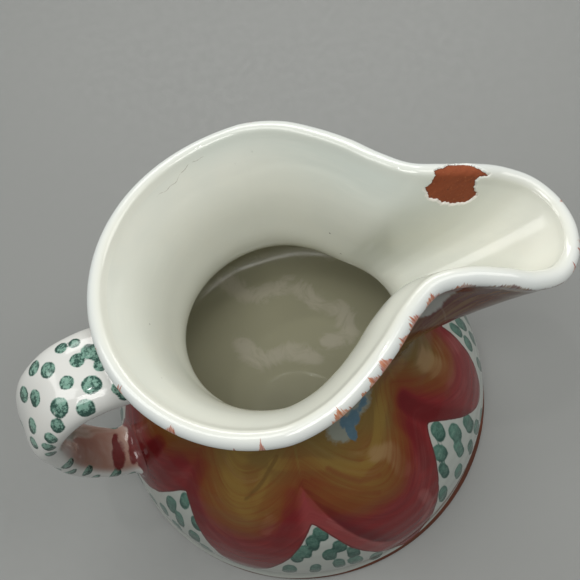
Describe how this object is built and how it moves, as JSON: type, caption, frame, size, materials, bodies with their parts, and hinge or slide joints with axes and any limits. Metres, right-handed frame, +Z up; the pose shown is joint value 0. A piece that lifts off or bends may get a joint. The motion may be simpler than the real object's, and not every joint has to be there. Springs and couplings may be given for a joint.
{
  "type": "ceramic pitcher",
  "caption": "Small squat pitcher in painted tin-glazed earthenware, with a flared mouth, a pulled pouring spout and a strap handle.",
  "frame": {"origin": "centre of the flat underside", "axes": "+Z up along the body's axis, +X towards the spout, +Y to the left of a person who looks along +X; the handle is on the -X side"},
  "size_m": [0.1856, 0.1502, 0.1264],
  "materials": {
    "fired_clay": "matte",
    "inner_tin_glaze": "gloss",
    "painted_tin_glaze": "gloss",
    "lip_tin_glaze": "gloss",
    "handle_tin_glaze": "gloss"
  },
  "bodies": {
    "root": {"clay_body": "fired_clay", "inner_glaze": "inner_tin_glaze", "outer_glaze": "painted_tin_glaze", "lip_glaze": "lip_tin_glaze", "handle_strap": "fired_clay", "handle_glaze": "handle_tin_glaze", "upper_handle_joint": "fired_clay", "lower_handle_joint": "fired_clay"}
  },
  "joints": []
}
